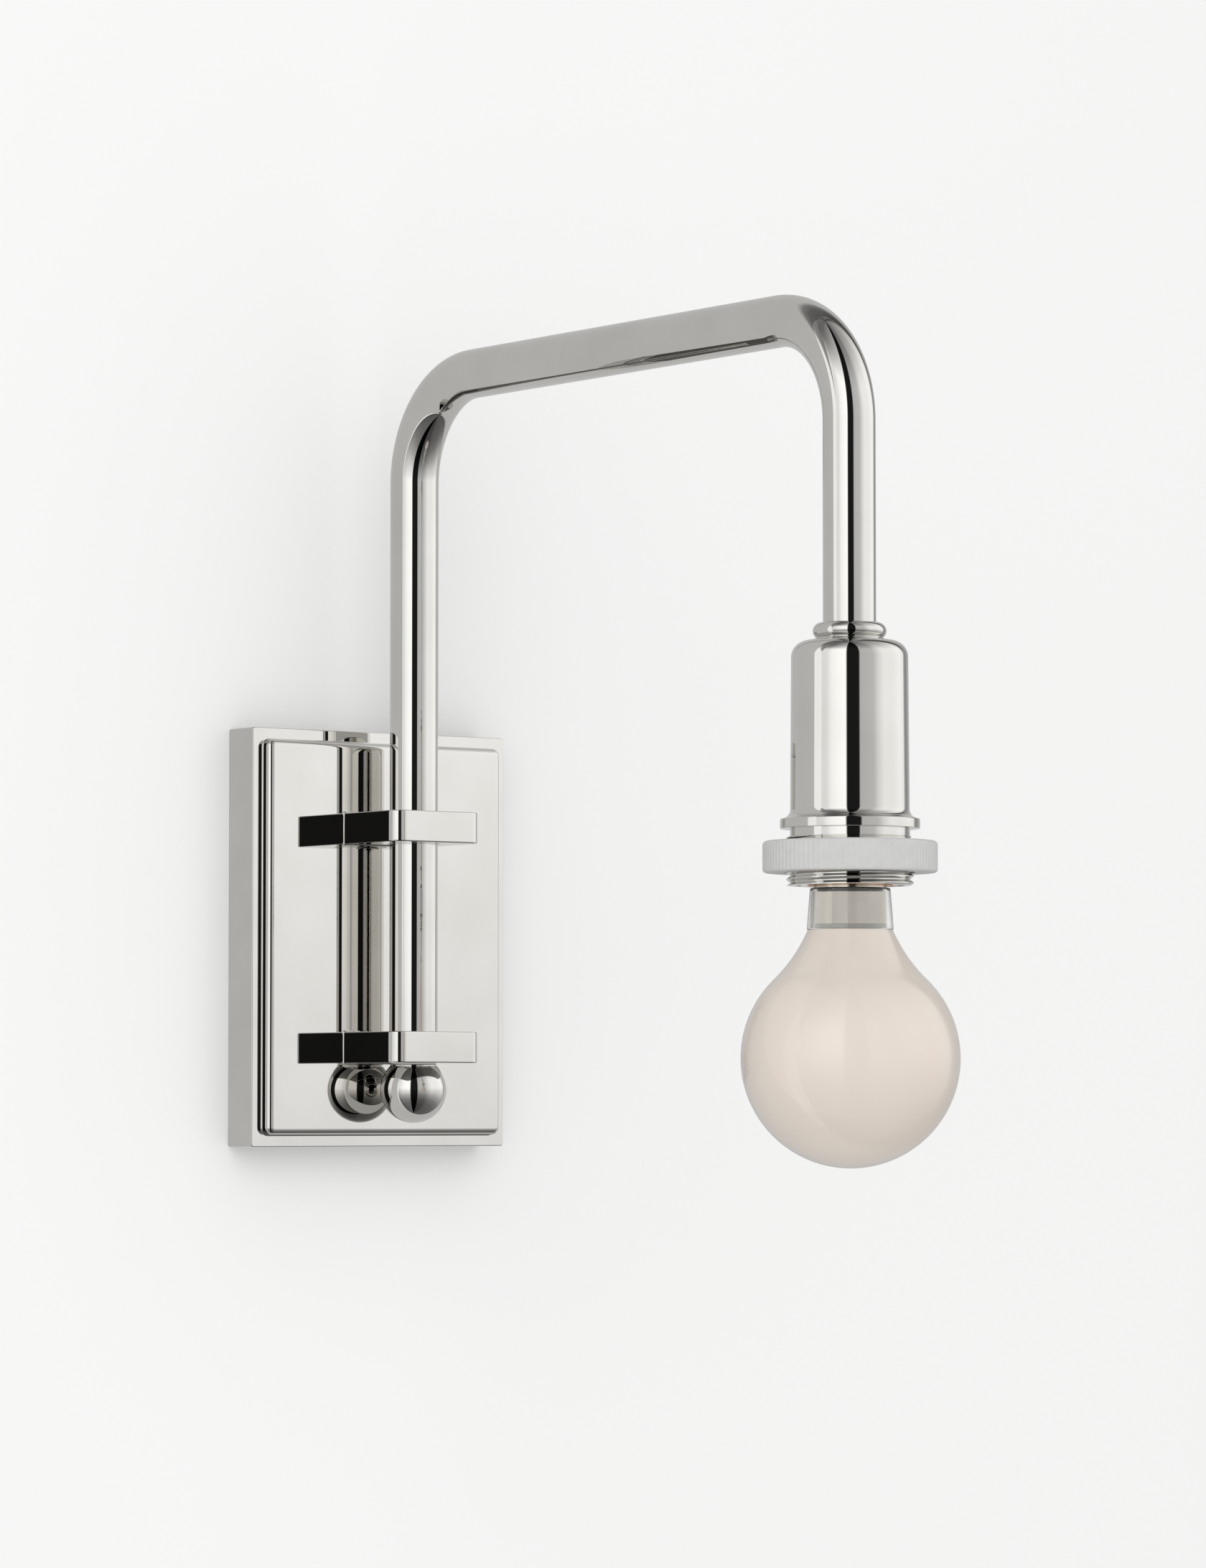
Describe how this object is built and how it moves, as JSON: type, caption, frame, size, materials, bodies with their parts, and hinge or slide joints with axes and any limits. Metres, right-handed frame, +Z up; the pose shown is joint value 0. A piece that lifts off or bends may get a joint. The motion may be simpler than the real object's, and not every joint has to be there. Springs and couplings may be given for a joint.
{
  "type": "swing arm wall sconce",
  "caption": "Wall sconce with a stepped rectangular plate, block brackets, a swinging hooped tube arm with a ball finial, and a downward lamp holder with an opal globe lamp.",
  "frame": {"origin": "centre of the wall face, the flat back of the plate that meets the wall", "axes": "+Y into the wall, +Z up, +X along the wall; the arm reaches out along -Y at rest"},
  "size_m": [0.121, 0.3491, 0.3168],
  "materials": {
    "polished_nickel": "mirror-polished nickel plate",
    "off_white_ring": "satin moulded plastic, finely ribbed",
    "opal_glass": "opal white glass",
    "clear_plastic": "clear moulded plastic",
    "brushed_aluminium": "brushed",
    "nickel_cap": "nickel-plated brass screw cap",
    "copper_shell": "copper-toned brass screw shell",
    "brass": "turned brass",
    "steel": "zinc-plated steel",
    "porcelain": "glazed white insulator",
    "nylon": "nylon",
    "black_insulator": "black insulating ring",
    "circuit_board": "white lamp board",
    "lead_black": "black wire insulation",
    "lead_white": "white wire insulation",
    "lead_green": "green wire insulation",
    "connector_plastic": "moulded wire connector"
  },
  "bodies": {
    "wall_plate": {"backplate_cover": "polished_nickel", "mounting_crossbar": "steel", "cover_set_screws": "polished_nickel", "ground_screw": "lead_green", "ground_lead": "lead_green", "upper_bracket": "polished_nickel", "lower_bracket": "polished_nickel", "bracket_screws": "steel", "upper_bushing": "nylon", "lower_bushing": "nylon", "pivot_washer": "nylon", "stop_screw": "steel", "wall_lead_hot": "lead_black", "wall_lead_neutral": "lead_white", "wire_connectors": "connector_plastic"},
    "swing_arm": {"arm_tube": "polished_nickel", "leg_plug": "brass", "finial_washer": "nylon", "ball_finial": "polished_nickel", "arm_lead_hot": "lead_black", "arm_lead_neutral": "lead_white", "lamp_end_plug": "brass", "lamp_nipple": "steel", "nipple_locknut": "steel", "tube_collar": "polished_nickel", "socket_cup": "polished_nickel", "threaded_sleeve": "polished_nickel", "socket_insulator": "porcelain", "screw_shell": "copper_shell", "centre_contact": "brass", "terminal_screws": "brass"},
    "ring": {"shade_ring": "off_white_ring"},
    "lamp": {"bulb_glass": "opal_glass", "bulb_collar": "clear_plastic", "bulb_heatsink": "brushed_aluminium", "led_board": "circuit_board", "driver_board": "circuit_board", "bulb_cap": "nickel_cap", "bulb_insulator": "black_insulator", "bulb_contact": "brass"}
  },
  "joints": [
    {"name": "arm_swing", "type": "hinge", "parent": "wall_plate", "child": "swing_arm", "pos_m": [0, -0.04, 0], "axis": [0, 0, 1], "range_deg": [-85, 85]},
    {"name": "ring_screw", "type": "slide", "parent": "swing_arm", "child": "ring", "axis": [0, 0, 1], "range_m": [-0.003, 0.0042]},
    {"name": "lamp_unscrew", "type": "slide", "parent": "swing_arm", "child": "lamp", "axis": [0, 0, -1], "range_m": [0, 0.029]}
  ]
}
